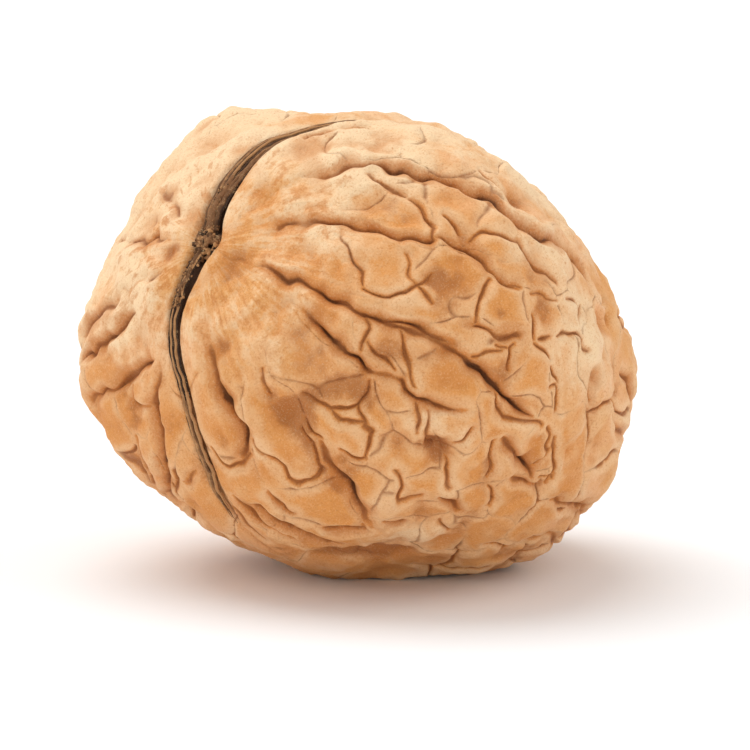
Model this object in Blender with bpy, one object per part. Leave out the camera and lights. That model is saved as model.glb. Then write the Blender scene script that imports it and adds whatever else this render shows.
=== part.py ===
"""A walnut in its shell, lying on its side on a small flat spot.

The shell is one grown body. Its outline is a ball stretched differently toward the stem end, the tip, the
seam and the two cheeks. Furrows, creases, plates and the seam's groove are pressed into it by formulas, in
millimetres measured on the surface. A dark woody strand lies in the groove round the stem end.

Places on the nut are given in degrees, as (down, round): down runs from 0 at the stem end to 180 at the
tip, and round runs from 0 at the underside's seam, over the near cheek at 90 and the upper seam at 180,
to the far cheek at 270.
"""

import math

import bmesh
import bpy
import numpy as np

MM = 0.001

# Outline of the nut, in millimetres from its middle, where the long axis is widest
STEM_REACH = 16.3
TIP_REACH = 24.2
SEAM_REACH = 16.7
NEAR_CHEEK_REACH = 19.8
FAR_CHEEK_REACH = 20.9

# How the nut lies: its stem end is raised, and the near cheek is tipped up a little
STEM_RISE = math.radians(30.5)
CHEEK_TIP = math.radians(2.1)
MIDDLE = (-6.5, 0.0, 17.65)

# Surface
BALL_DIVISIONS = 7
SHELL_TRIANGLES = 11_200
PLATE_RISE = 0.34
PLATE_EDGE = 1.1
ROUTE_STEP = 1.2
LINE_REACH = 6.0

# Strand in the seam
STRAND_RADIUS = 0.45
KNOT_SWELL = 0.14
STRAND_GAP = 0.50

# Broad swellings and flats: place, radius on the surface, rise
SWELLINGS = (
    ((55, 213), 5.0, 0.75),
    ((62, 190), 5.5, -0.55),
    ((45, 265), 6.0, -0.8),
    ((63, 262), 4.0, -0.6),
    ((70, 174), 6.0, -0.5),
    ((57, 308), 5.5, 0.75),
    ((101, 146), 5.0, -0.35),
    ((128, 122), 5.0, 0.45),
    ((115, 16), 5.0, -0.8),
    ((114, 346), 4.5, 0.35),
    ((132, 44), 6.0, 0.6),
    ((96, 4), 5.0, -0.25),
    ((128, 300), 7.0, 0.3),
    ((95, 230), 7.0, 0.35),
)

# Furrows of the near cheek: half width, then the points, each with its place and depth
NEAR_FURROWS = (
    (0.50, ((12, 147, 0.15), (22, 147, 0.25), (31, 145, 0.35), (36, 143, 0.35), (42, 141, 0.5),
            (46.5, 138.5, 0.8), (54, 134.5, 1.2), (60, 132, 1.3), (69.5, 128, 1.2), (75, 124, 1.1),
            (83, 122, 1.0), (88, 122, 0.7), (92, 123.5, 0.7), (97, 122.5, 0.8), (102, 120, 0.3))),
    (0.42, ((16.5, 121, 0.15), (22.5, 120, 0.5), (28.5, 117.5, 0.6), (35, 114, 0.7), (42.5, 110.5, 0.8),
            (50, 108, 0.9), (52.5, 108.5, 0.3))),
    (0.45, ((53, 109, 0.3), (58.5, 108.5, 0.9), (62, 109.5, 0.9), (65.5, 107, 0.4), (72, 104, 0.35),
            (78, 101.5, 0.3), (80, 100, 0.2))),
    (0.45, ((10.5, 80, 0.5), (16.5, 80, 0.9), (23.5, 81, 0.9), (30, 80.5, 0.9), (36.5, 80, 0.8),
            (43, 79, 0.9), (53.5, 80.5, 0.9), (58.5, 81, 0.8), (64, 81.5, 0.3))),
    (0.45, ((48.5, 78.5, 0.2), (52, 77.5, 0.5), (55.5, 79.5, 0.6), (62, 80, 0.7), (71.5, 79, 1.0),
            (80, 78, 1.3), (86, 76.5, 1.2), (93, 76, 0.4))),
    (0.45, ((25.5, 66.5, 0.2), (32, 64.5, 0.6), (39.5, 64, 1.0), (48.5, 63.5, 1.0), (57, 65, 0.7),
            (62.5, 65, 0.8), (68, 66, 0.9), (73, 67.5, 0.8), (78, 69, 0.5), (81, 71, 0.25), (90, 73, 0.3),
            (95, 72.5, 0.2))),
    (0.60, ((20.5, 13.5, 0.3), (27.5, 12.5, 0.6), (34.5, 13, 0.9), (39, 15, 1.4), (44.5, 18, 1.5),
            (49.5, 19, 1.4), (53.5, 17.5, 0.8), (56, 16, 0.4))),
    (0.40, ((56.5, 16, 0.5), (61.5, 14, 0.6), (66, 13, 0.6), (73, 13.5, 0.6), (80.5, 14.5, 0.6),
            (88.5, 20, 0.4))),
    (0.35, ((64, 16, 0.3), (69, 16, 0.5), (73, 16.5, 0.5), (75, 18, 0.3))),
    (0.45, ((81.5, 20.5, 0.4), (84, 23.5, 0.7), (86, 28.5, 0.7), (83.5, 30.5, 0.3))),
    (0.45, ((66, 88, 0.7), (70.5, 88.5, 0.9), (76.5, 89.5, 0.6), (79, 90.5, 0.3))),
    (0.50, ((90, 66.5, 0.3), (92.5, 66.5, 0.6), (97, 65, 0.8), (100.5, 65, 1.0), (104, 63.5, 0.4))),
    (0.40, ((98.5, 60.5, 0.3), (103, 61, 0.5), (107, 61.5, 0.3))),
)

# Thin creases between the plates of the near cheek: the points, all of one depth
NEAR_CREASES = (
    ((55, 16), (57, 11.5), (57, 8), (55, 5.5), (52.5, 4)),
    ((31.5, 107), (33, 103), (36, 98), (39, 89.5)),
    ((39, 89), (44.5, 91), (48, 93), (51, 96), (54.5, 99)),
    ((68, 102), (66.5, 100), (65, 95.5), (66, 88.5)),
    ((79.5, 97.5), (80.5, 92.5)),
    ((84.5, 94), (88.5, 96)),
    ((89, 96.5), (92, 97.5), (98.5, 98)),
    ((91.5, 88), (93.5, 86.5), (95.5, 83.5), (96.5, 81)),
    ((52, 76.5), (54.5, 73.5), (57.5, 70.5), (60.5, 67.5)),
    ((47.5, 69.5), (53, 68), (57, 66)),
    ((54, 58), (53.5, 55.5), (50.5, 50), (46.5, 46.5), (42, 41)),
    ((53.5, 55), (56, 51), (61.5, 49.5), (65, 46)),
    ((51, 36.5), (53.5, 37.5)),
    ((50.5, 20.5), (58, 20), (64, 21.5), (67, 24), (67, 28.5), (60.5, 33), (53, 34.5)),
    ((60, 36), (67, 33.5), (71.5, 33), (77.5, 32.5)),
    ((62, 113.5), (67, 116), (73, 116), (76, 114), (80, 111), (85, 111), (89, 110.5)),
    ((51.5, 109.5), (50, 116), (48, 122)),
    ((80, 66.5), (80.5, 60.5), (85.5, 51.5), (92, 49.5), (97, 56), (98, 58.5), (95.5, 62), (92, 64.5),
     (88.5, 66)),
    ((67.5, 62.5), (71.5, 58.5), (74.5, 56)),
    ((101, 75), (105, 71), (107.5, 67), (109, 64)),
    ((75, 42.5), (78.5, 44), (82.5, 40), (85.5, 44.5), (88, 46)),
    ((95.5, 46.5), (98.5, 46.5)),
)
CREASE_HALF_WIDTH = 0.30
CREASE_DEPTH = 0.32

# Furrows of the far cheek that can be followed beside the seam
FAR_FURROWS = (
    (0.40, ((31, 341, 0.2), (34, 335.5, 0.6), (38.5, 331, 0.6), (43.5, 326, 0.6), (50, 320.5, 0.6),
            (58, 313, 0.4))),
    (0.45, ((25.5, 316, 0.2), (31.5, 313, 0.7), (35.5, 312.5, 0.8), (42, 309, 0.8), (49, 306, 0.7),
            (55, 305, 0.4))),
    (0.60, ((30, 300, 0.3), (37, 299, 0.7), (44, 297, 0.8), (52, 296, 0.5))),
    (0.40, ((48, 343, 0.3), (52, 345, 0.5), (57, 346.5, 0.5), (62, 347.5, 0.4), (70, 346, 0.5),
            (80, 347, 0.3))),
    (0.55, ((12, 236, 0.2), (16, 235, 0.5), (22, 235, 0.5), (28, 233, 0.3))),
    (0.50, ((10, 268, 0.2), (14, 267, 0.45), (24, 267, 0.5), (32, 265, 0.4), (40, 262, 0.3))),
)

# Pits: place, radius, depth
PITS = (
    ((77, 55.5), 0.8, 1.0),
    ((70, 52.5), 1.2, 0.7),
    ((74, 55), 0.7, 0.4),
    ((100.5, 65), 0.8, 0.4),
    ((87, 76.5), 0.7, 0.3),
    ((79.5, 66), 0.7, 0.5),
    ((97, 46.5), 0.9, 0.6),
    ((113, 61), 0.9, 0.6),
    ((83, 73), 0.9, 0.4),
    ((80, 131), 0.8, 0.6),
    ((60.5, 113), 0.6, 0.4),
    ((47, 33), 0.9, 0.5),
    ((40.5, 32.5), 0.7, 0.4),
    ((26.5, 19.5), 0.9, 0.5),
    ((103, 112), 0.9, 0.5),
    ((106.5, 97), 0.9, 0.5),
    ((31.5, 192), 0.8, 0.35),
    ((17, 303), 0.5, 0.4),
    ((9, 285), 0.9, 0.7),
    ((10, 225), 0.8, 0.5),
    ((66, 38), 1.6, 0.3),
    ((62, 11), 1.4, 0.3),
    ((41, 123), 1.8, 0.35),
    ((62, 98), 1.8, 0.3),
    ((85, 101), 1.5, 0.35),
    ((80, 107), 1.5, 0.3),
    ((52, 73), 1.6, 0.2),
)

# Middles of the near cheek's plates, which keep the fainter plate edges between them
NEAR_PLATES = (
    (41, 98), (56, 97), (72, 95), (85, 98), (93, 93), (86, 85), (69, 84), (75, 83), (65, 73.5), (51, 73),
    (52, 65.5), (36, 72), (42, 54), (53, 51), (57, 44), (68, 38), (57, 27), (74, 25), (42, 9), (64, 9),
    (50, 155), (70, 148), (35, 130), (43, 118), (60, 120), (72, 117), (76, 107), (90, 117), (98, 112),
    (95, 105), (103, 104), (108, 112), (76, 61.5), (89, 58), (96.5, 50.5), (88, 70.5), (100, 70),
    (104, 58), (112, 68), (75, 49), (70, 56), (85, 45), (89.5, 40.5), (99, 37.5), (93, 33.5), (103, 44),
)
PLATE_COUNT = 190
PLATE_CLEAR = 4.6
PLATE_EDGE_DEPTH = 0.20

# Seam: upper branch, then under branch
UPPER_SEAM = ((2, 180), (10, 178), (20, 177), (30, 175), (40, 173), (50, 171), (58, 169), (75, 170.5),
              (90, 172), (120, 176), (150, 179), (178, 180))
UNDER_SEAM = ((2, 358), (10, 358), (20, 353), (30, 355.5), (40, 358.5), (50, 361.5), (60, 362),
              (70, 362.5), (80, 361.5), (90, 361), (120, 360), (150, 360), (178, 360))
STRAND_END = 46


def direction(down, around):
    """Unit vectors on (stem axis, underside seam, near cheek) for places in degrees."""
    down, around = np.radians(down), np.radians(around)
    return np.stack([np.cos(down), np.sin(down) * np.cos(around), np.sin(down) * np.sin(around)], -1)


def reaches(unit):
    stem = np.where(unit[..., 0] > 0, STEM_REACH, TIP_REACH)
    cheek = np.where(unit[..., 2] > 0, NEAR_CHEEK_REACH, FAR_CHEEK_REACH)
    return np.stack([stem, np.full_like(stem, SEAM_REACH), cheek], -1)


def ball_point(unit):
    """The point of the smooth outline, and its outward normal."""
    reach = reaches(unit)
    normal = unit / reach
    return unit * reach, normal / np.linalg.norm(normal, axis=-1, keepdims=True)


def ease(value, low, high):
    """0 below low, 1 above high, smooth between; low may be the larger."""
    share = np.clip((value - low) / (high - low), 0, 1)
    return share * share * (3 - 2 * share)


def ripple(points, wave, seed, count=24):
    """A smooth random field of about unit size, made of plane waves of about this length."""
    draw = np.random.default_rng(seed)
    aim = draw.normal(size=(count, 3))
    aim /= np.linalg.norm(aim, axis=1, keepdims=True)
    aim *= (2 * math.pi / wave) * draw.uniform(0.65, 1.4, (count, 1))
    return np.cos(points @ aim.T + draw.uniform(0, 2 * math.pi, count)).sum(1) * math.sqrt(2 / count)


def smooth_route(corners):
    """Rows of (x, y, z, depth) along a smooth curve through corners of (down, round, depth)."""
    corners = np.array(corners, float)
    place = ball_point(direction(corners[:, 0], corners[:, 1]))[0]
    rows = np.concatenate([place, corners[:, 2:]], 1)
    before = np.concatenate([2 * rows[:1] - rows[1:2], rows[:-1]])
    after = np.concatenate([rows[1:], 2 * rows[-1:] - rows[-2:-1]])
    slope = (after - before) / 2
    made = [rows[:1]]
    for start, end, leave, arrive in zip(rows[:-1], rows[1:], slope[:-1], slope[1:]):
        count = max(1, round(np.linalg.norm((end - start)[:3]) / ROUTE_STEP))
        t = (np.arange(count) + 1)[:, None] / count
        made.append((2 * t**3 - 3 * t**2 + 1) * start + (t**3 - 2 * t**2 + t) * leave
                    + (3 * t**2 - 2 * t**3) * end + (t**3 - t**2) * arrive)
    return np.concatenate(made)


def along_route(points, route):
    """Distance of each point from the route, and the route's depth there."""
    away = np.full(len(points), LINE_REACH)
    depth = np.zeros(len(points))
    low, high = route[:, :3].min(0) - LINE_REACH, route[:, :3].max(0) + LINE_REACH
    near = np.flatnonzero(((points > low) & (points < high)).all(1))
    for start, end in zip(route[:-1], route[1:]):
        step = (end - start)[:3]
        share = np.clip((points[near] - start[:3]) @ step / max(step @ step, 1e-9), 0, 1)
        gap = np.linalg.norm(points[near] - start[:3] - share[:, None] * step, axis=1)
        closer = gap < away[near]
        found = near[closer]
        away[found] = gap[closer]
        depth[found] = (start[3] + share * (end[3] - start[3]))[closer]
    return away, depth


def crease(corners, depth):
    """Corners of a thin line, shallower at both ends."""
    shares = np.sin(np.linspace(0.15, 0.85, len(corners)) * math.pi)
    return tuple((down, around, depth * share) for (down, around), share in zip(corners, shares))


def wandering_furrows():
    """Furrows of the hidden far cheek and of the tip's end, each a lengthwise walk with a side branch."""
    draw = np.random.default_rng(11)
    for around in np.arange(196, 345, 15.5):
        start, end = draw.uniform(26, 46), draw.uniform(96, 140)
        down = np.linspace(start, end, 8)
        turn = around + np.cumsum(draw.uniform(-4.5, 4.5, 8)) * ease(down, 20, 60)
        depth = draw.uniform(0.5, 1.1) * np.sin(np.linspace(0.12, 0.9, 8) * math.pi)
        yield draw.uniform(0.4, 0.6), tuple(zip(down, turn, depth))
        side = draw.choice((-1, 1)) * draw.uniform(5, 8)
        branch = ((down[3], turn[3], 0.3), (down[4], turn[3] + 0.6 * side, 0.5),
                  (down[5], turn[4] + side, 0.3))
        yield 0.4, branch
    for around in np.arange(20, 180, 22):
        down = np.linspace(draw.uniform(112, 120), draw.uniform(138, 152), 5)
        turn = around + np.cumsum(draw.uniform(-8, 8, 5))
        depth = draw.uniform(0.4, 0.8) * np.sin(np.linspace(0.15, 0.85, 5) * math.pi)
        yield 0.45, tuple(zip(down, turn, depth))


def plate_middles():
    """The near plates as read, and evenly scattered ones on the rest of the nut."""
    near = ball_point(direction(*np.array(NEAR_PLATES, float).T))[0]
    draw = np.random.default_rng(5)
    turn = math.pi * (3 - math.sqrt(5))
    level = 1 - 2 * (np.arange(PLATE_COUNT) + 0.5) / PLATE_COUNT
    swing = np.arange(PLATE_COUNT) * turn
    spread = np.sqrt(1 - level**2)
    unit = np.stack([level, spread * np.cos(swing), spread * np.sin(swing)], 1)
    unit += draw.normal(size=unit.shape) * 0.045
    unit /= np.linalg.norm(unit, axis=1, keepdims=True)
    rest = ball_point(unit)[0]
    gap = np.linalg.norm(rest[:, None] - near[None], axis=2).min(1)
    return np.concatenate([near, rest[gap > PLATE_CLEAR]])


def plate_edges(points, unit):
    """Distance from the border of the plate that each point is in; plates are long near the stem end."""
    stem = np.array([1.0, 0.0, 0.0])
    lengthwise = stem - unit * unit[:, :1]
    lengthwise /= np.maximum(np.linalg.norm(lengthwise, axis=1, keepdims=True), 1e-6)
    squeeze = 0.5 + 0.4 * ease(unit[:, 0], 0.7, -0.2)
    warped = points + 0.55 * np.stack([ripple(points, 5.0, seed) for seed in (21, 22, 23)], 1)
    first = np.full(len(points), 1e9)
    second = np.full(len(points), 1e9)
    for middle in plate_middles():
        offset = middle - warped
        lengthways = (offset * lengthwise).sum(1)
        gap = np.sqrt((offset**2).sum(1) - (1 - squeeze**2) * lengthways**2)
        second = np.minimum(second, np.maximum(first, gap))
        first = np.minimum(first, gap)
    return (second - first) / 2


def seam_shape(points, down):
    """Height of the seam's valley, its lips and the groove that holds the strand."""
    height = np.zeros(len(points))
    nearest = np.full(len(points), LINE_REACH)
    for branch in (UPPER_SEAM, UNDER_SEAM):
        route = smooth_route([(*place, 0.0) for place in branch])
        away = along_route(points, route)[0]
        stem_share = ease(down, 84, 60)
        tip_share = 1 - stem_share
        lips = 0.35 * np.exp(-(((away - 2.3) / 1.0) ** 2)) - 0.5 * np.exp(-((away / 1.5) ** 2))
        keel = 0.45 * np.exp(-((away / 2.4) ** 2)) - 0.45 * np.exp(-((away / 0.28) ** 2))
        line = -0.4 * np.exp(-((away / 0.35) ** 2)) * ease(down, STRAND_END - 6, STRAND_END)
        groove = -0.95 * ease(away, 1.15, 0.62) * ease(down, STRAND_END + 5, STRAND_END - 1)
        height += stem_share * (lips + line + groove) + tip_share * keel
        nearest = np.minimum(nearest, away)
    return height, nearest


def relief(unit):
    """Height above the smooth outline, in millimetres, for each direction."""
    points = ball_point(unit)[0]
    down = np.degrees(np.arccos(np.clip(unit[:, 0], -1, 1)))
    around = np.arctan2(unit[:, 2], unit[:, 1])
    height = 0.13 * ripple(points, 13.0, 31) - 0.5
    for place, radius, rise in SWELLINGS:
        gap = np.linalg.norm(points - ball_point(direction(*place))[0], axis=1)
        height += rise * np.exp(-((gap / radius) ** 2))
    seam, seam_gap = seam_shape(points, down)
    beside_seam = ease(seam_gap, 1.3, 3.0)

    cuts = np.zeros(len(points))
    soft = np.zeros(len(points))
    line_gap = np.full(len(points), LINE_REACH)
    furrows = list(NEAR_FURROWS) + list(FAR_FURROWS) + list(wandering_furrows())
    furrows += [(CREASE_HALF_WIDTH, crease(corners, CREASE_DEPTH)) for corners in NEAR_CREASES]
    for half_width, corners in furrows:
        away, depth = along_route(points, smooth_route(corners))
        cuts += (0.72 * depth * np.exp(-((away / half_width) ** 2))) ** 3
        soft += (0.34 * depth * np.exp(-((away / (3.2 * half_width)) ** 2))) ** 3
        line_gap = np.minimum(line_gap, away + 0.8 * ease(depth, 0.3, 0.05))
    cuts, soft = np.cbrt(cuts), np.cbrt(soft)

    edge_gap = plate_edges(points, unit)
    away_from_lines = ease(line_gap, 0.8, 2.6)
    stem_fade = ease(down, 22, 48)
    edge = PLATE_EDGE_DEPTH * np.exp(-((edge_gap / 0.34) ** 2)) * away_from_lines * stem_fade
    border = np.minimum(edge_gap + 1.2 * (1 - away_from_lines), line_gap)
    dome = PLATE_RISE * (1 - np.exp(-((border / PLATE_EDGE) ** 1.5))) * (0.35 + 0.65 * stem_fade)
    dents = 0.10 * ripple(points, 4.6, 41) + 0.05 * ripple(points, 2.4, 42)

    rays = np.cos(13 * around + 0.7) + 0.8 * np.cos(23 * around + 2.1) + 0.6 * np.cos(37 * around + 4.0)
    rays *= 0.075 * ease(down, 6, 14) * ease(down, 62, 34)

    pits = np.zeros(len(points))
    for place, radius, depth in PITS:
        gap = np.linalg.norm(points - ball_point(direction(*place))[0], axis=1)
        pits = np.maximum(pits, depth * np.exp(-((gap / radius) ** 2)))

    height += seam + (dome + dents + rays - cuts - soft - edge - pits) * (0.25 + 0.75 * beside_seam)
    pole_gap = np.linalg.norm(points - ball_point(direction(0, 0))[0], axis=1)
    height -= 0.55 * np.exp(-((pole_gap / 1.7) ** 4))
    tip_gap = np.linalg.norm(points - ball_point(direction(180, 0))[0], axis=1)
    height += 1.1 * np.exp(-((tip_gap / 2.2) ** 2))
    return height


def lay_down(points):
    """Turns points from the nut's own axes to the way it lies, in millimetres."""
    rise, tip = STEM_RISE, CHEEK_TIP
    stem = np.array([-math.cos(rise), 0.0, math.sin(rise)])
    level_seam = np.array([-math.sin(rise), 0.0, -math.cos(rise)])
    level_cheek = np.array([0.0, -1.0, 0.0])
    seam = math.cos(tip) * level_seam + math.sin(tip) * level_cheek
    cheek = math.cos(tip) * level_cheek - math.sin(tip) * level_seam
    return points @ np.stack([stem, seam, cheek]) + np.array(MIDDLE)


def material(name, colour, roughness):
    made = bpy.data.materials.new(name)
    made.use_nodes = True
    shader = made.node_tree.nodes["Principled BSDF"]
    shader.inputs["Base Color"].default_value = (*colour, 1.0)
    shader.inputs["Roughness"].default_value = roughness
    shader.inputs["Metallic"].default_value = 0.0
    return made


def add_object(name, mesh, collection):
    made = bpy.data.objects.new(name, mesh)
    collection.objects.link(made)
    return made


def vertex_places(mesh):
    places = np.empty(len(mesh.vertices) * 3)
    mesh.vertices.foreach_get("co", places)
    return places.reshape(-1, 3)


def make_shell(parts, cutters):
    shape = bmesh.new()
    bmesh.ops.create_icosphere(shape, subdivisions=BALL_DIVISIONS, radius=1.0)
    mesh = bpy.data.meshes.new("shell")
    shape.to_mesh(mesh)
    shape.free()
    unit = vertex_places(mesh)
    unit /= np.linalg.norm(unit, axis=1, keepdims=True)
    points, normal = ball_point(unit)
    surface = lay_down(points + normal * relief(unit)[:, None]) * MM
    mesh.vertices.foreach_set("co", surface.ravel())
    mesh.update()
    mesh.shade_smooth()
    mesh.materials.append(material("walnut_shell", (0.60, 0.36, 0.17), 0.62))
    shell = add_object("shell", mesh, parts)

    fewer = shell.modifiers.new("fewer_faces", "DECIMATE")
    fewer.ratio = SHELL_TRIANGLES / len(mesh.polygons)

    ground = bpy.data.meshes.new("ground")
    shape = bmesh.new()
    bmesh.ops.create_cube(shape, size=60 * MM)
    bmesh.ops.translate(shape, verts=shape.verts, vec=(0, 0, -30 * MM))
    shape.to_mesh(ground)
    shape.free()
    cutter = add_object("ground", ground, cutters)
    cutter.hide_render = True
    cutter.display_type = "WIRE"
    flat = shell.modifiers.new("rest_spot", "BOOLEAN")
    flat.operation = "DIFFERENCE"
    flat.object = cutter
    return shell


def strand_line():
    """Points and radii along the strand, over the stem end from the upper seam to the under seam."""
    upper = [(*place, 0.0) for place in UPPER_SEAM if place[0] <= 50]
    under = [(*place, 0.0) for place in UNDER_SEAM if place[0] <= 50]
    rows = smooth_route(upper[::-1][:-1] + [(0, 0, 0.0)] + under[1:])[:, :3]
    unit = rows / reaches(rows)
    unit /= np.linalg.norm(unit, axis=1, keepdims=True)
    down = np.degrees(np.arccos(np.clip(unit[:, 0], -1, 1)))
    unit, down = unit[down < STRAND_END - 4], down[down < STRAND_END - 4]
    radius = STRAND_RADIUS * (0.45 + 0.55 * ease(down, 44, 24)) + KNOT_SWELL * np.exp(-((down / 5.0) ** 2))
    points, normal = ball_point(unit)
    floor = np.pad(relief(unit), 1, "edge")
    floor = np.maximum(np.maximum(floor[:-2], floor[2:]), floor[1:-1])
    return points + normal * (floor + STRAND_GAP + radius)[:, None], radius


def make_strand(parts):
    middle, radius = strand_line()
    line = bpy.data.curves.new("seam_fibre", "CURVE")
    line.dimensions = "3D"
    line.bevel_depth = STRAND_RADIUS * MM
    line.bevel_resolution = 2
    line.use_fill_caps = True
    spline = line.splines.new("POLY")
    spline.points.add(len(middle) - 1)
    for point, place, size in zip(spline.points, lay_down(middle) * MM, radius):
        point.co = (*place, 1.0)
        point.radius = size / STRAND_RADIUS
    guide = add_object("strand_line", line, parts)
    bpy.context.view_layer.update()
    graph = bpy.context.evaluated_depsgraph_get()
    mesh = bpy.data.meshes.new_from_object(guide.evaluated_get(graph))
    bpy.data.objects.remove(guide)
    shape = bmesh.new()
    shape.from_mesh(mesh)
    bmesh.ops.remove_doubles(shape, verts=shape.verts, dist=0.0001 * MM)
    bmesh.ops.recalc_face_normals(shape, faces=shape.faces)
    shape.to_mesh(mesh)
    shape.free()
    mesh.name = "seam_fibre"
    mesh.materials.clear()
    mesh.materials.append(material("seam_fibre", (0.13, 0.085, 0.05), 0.9))
    return add_object("seam_fibre", mesh, parts)


def main():
    for item in list(bpy.data.objects):
        bpy.data.objects.remove(item)
    parts = bpy.data.collections.new("walnut")
    cutters = bpy.data.collections.new("cutters")
    bpy.context.scene.collection.children.link(parts)
    bpy.context.scene.collection.children.link(cutters)
    make_shell(parts, cutters)
    make_strand(parts)


main()
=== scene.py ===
# %% [markdown]
# # A walnut in its shell
#
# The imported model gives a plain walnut: one solid for the shell and one for the woody strand in the seam.
# This lesson dresses it. A finer shell and a strand of real fibres take the place of the two solids, each
# with a material worked out by formula, and then comes a white table with soft light.

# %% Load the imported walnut
import math

import bmesh
import bpy
import numpy as np
from mathutils import Matrix, Vector


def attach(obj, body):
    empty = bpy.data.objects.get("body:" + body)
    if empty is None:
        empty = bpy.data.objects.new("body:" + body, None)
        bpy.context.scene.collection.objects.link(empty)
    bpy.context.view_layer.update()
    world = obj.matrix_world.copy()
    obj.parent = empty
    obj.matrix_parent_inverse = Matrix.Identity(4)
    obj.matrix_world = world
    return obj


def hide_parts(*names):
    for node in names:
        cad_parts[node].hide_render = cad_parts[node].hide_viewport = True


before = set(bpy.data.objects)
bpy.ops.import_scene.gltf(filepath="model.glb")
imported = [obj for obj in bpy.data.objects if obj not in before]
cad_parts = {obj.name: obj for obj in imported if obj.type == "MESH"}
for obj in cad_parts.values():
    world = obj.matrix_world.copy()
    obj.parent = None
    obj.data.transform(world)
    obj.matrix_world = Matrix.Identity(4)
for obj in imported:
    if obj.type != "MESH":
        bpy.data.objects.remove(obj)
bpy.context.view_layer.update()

# %% [markdown]
# ## Places on the nut
#
# A nut has no flat sides to measure from, so places on it are given as on a globe, in degrees. "Down" runs
# from 0 at the stem end to 180 at the tip. "Round" runs from 0 at the seam below, over the near cheek at
# 90 and the seam above at 180, to the far cheek at 270. The ball under it is stretched by a different
# reach in each direction, and the finished nut is turned once, at the end, to lie on its side.

# %% The ball and the way it lies
MM = 0.001
STEM_REACH, TIP_REACH, SEAM_REACH = 16.3, 24.2, 16.7
NEAR_CHEEK_REACH, FAR_CHEEK_REACH = 19.8, 20.9
STEM_RISE = math.radians(30.5)
CHEEK_TIP = math.radians(2.1)
MIDDLE = (-6.5, 0.0, 17.65)


def normed(vectors):
    """Vectors of length 1 with the same directions."""
    return vectors / np.linalg.norm(vectors, axis=-1, keepdims=True)


def direction(down, around):
    """Unit vectors on (stem axis, underside seam, near cheek) for places in degrees."""
    down, around = np.radians(down), np.radians(around)
    return np.stack([np.cos(down), np.sin(down) * np.cos(around), np.sin(down) * np.sin(around)], -1)


def reaches(unit):
    """How far the smooth ball reaches from its middle along each of its own axes."""
    stem = np.where(unit[..., 0] > 0, STEM_REACH, TIP_REACH)
    cheek = np.where(unit[..., 2] > 0, NEAR_CHEEK_REACH, FAR_CHEEK_REACH)
    return np.stack([stem, np.full_like(stem, SEAM_REACH), cheek], -1)


def ball_point(unit):
    """The point of the smooth ball, and its outward normal."""
    reach = reaches(unit)
    return unit * reach, normed(unit / reach)


def unit_under(points):
    """The direction of the smooth ball's point under each of these."""
    return normed(points / reaches(points))


def distance(points, place):
    """How far each point is from one place (down, round) on the smooth ball."""
    return np.linalg.norm(points - ball_point(direction(*place))[0], axis=1)


def lying_axes():
    """The nut's own axes as rows, turned to the way it lies."""
    stem = np.array([-math.cos(STEM_RISE), 0.0, math.sin(STEM_RISE)])
    level_seam = np.array([-math.sin(STEM_RISE), 0.0, -math.cos(STEM_RISE)])
    level_cheek = np.array([0.0, -1.0, 0.0])
    seam = math.cos(CHEEK_TIP) * level_seam + math.sin(CHEEK_TIP) * level_cheek
    cheek = math.cos(CHEEK_TIP) * level_cheek - math.sin(CHEEK_TIP) * level_seam
    return np.stack([stem, seam, cheek])


def lay_down(points):
    return points @ lying_axes() + np.array(MIDDLE)


print("stem end lies at", lay_down(ball_point(direction(0, 0))[0]).round(1), "mm")

# %% [markdown]
# ## Tools for relief
#
# All the relief is a height above the ball, added up from simple shapes: a smooth step, a random ripple
# made of plane waves, and the distance from a line drawn on the nut. A line is a few places joined by a
# smooth curve, which a learner can read off a drawing, so no sculpting by hand is needed.

# %% Steps, ripples and lines
ROUTE_STEP = 1.0
LINE_REACH = 6.0
RIPPLE_WAVES = 24


def ease(value, low, high):
    """0 below low, 1 above high, smooth between; low may be the larger."""
    share = np.clip((value - low) / (high - low), 0, 1)
    return share * share * (3 - 2 * share)


def bell(value, width, power=2):
    """1 at zero, falling smoothly to 0 beyond the width."""
    return np.exp(-((value / width) ** power))


def ripple(points, wave, seed):
    """A smooth random field of about unit size, made of plane waves of about this length."""
    draw = np.random.default_rng(seed)
    aim = normed(draw.normal(size=(RIPPLE_WAVES, 3)))
    aim *= (2 * math.pi / wave) * draw.uniform(0.65, 1.4, (RIPPLE_WAVES, 1))
    phase = draw.uniform(0, 2 * math.pi, RIPPLE_WAVES)
    return np.cos(points @ aim.T + phase).sum(1) * math.sqrt(2 / RIPPLE_WAVES)


def wobble(points, wave, seed):
    """A smooth random vector at each point: one ripple for each axis."""
    return np.stack([ripple(points, wave, seed + axis) for axis in range(3)], 1)


def smooth_route(corners):
    """Rows of (x, y, z, depth) along a smooth curve through corners of (down, round, depth)."""
    corners = np.array(corners, float)
    place = ball_point(direction(corners[:, 0], corners[:, 1]))[0]
    rows = np.concatenate([place, corners[:, 2:]], 1)
    before = np.concatenate([2 * rows[:1] - rows[1:2], rows[:-1]])
    after = np.concatenate([rows[1:], 2 * rows[-1:] - rows[-2:-1]])
    slope = (after - before) / 2
    made = [rows[:1]]
    for start, end, leave, arrive in zip(rows[:-1], rows[1:], slope[:-1], slope[1:]):
        count = max(1, round(np.linalg.norm((end - start)[:3]) / ROUTE_STEP))
        t = (np.arange(count) + 1)[:, None] / count
        made.append((2 * t**3 - 3 * t**2 + 1) * start + (t**3 - 2 * t**2 + t) * leave
                    + (3 * t**2 - 2 * t**3) * end + (t**3 - t**2) * arrive)
    return np.concatenate(made)


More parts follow.
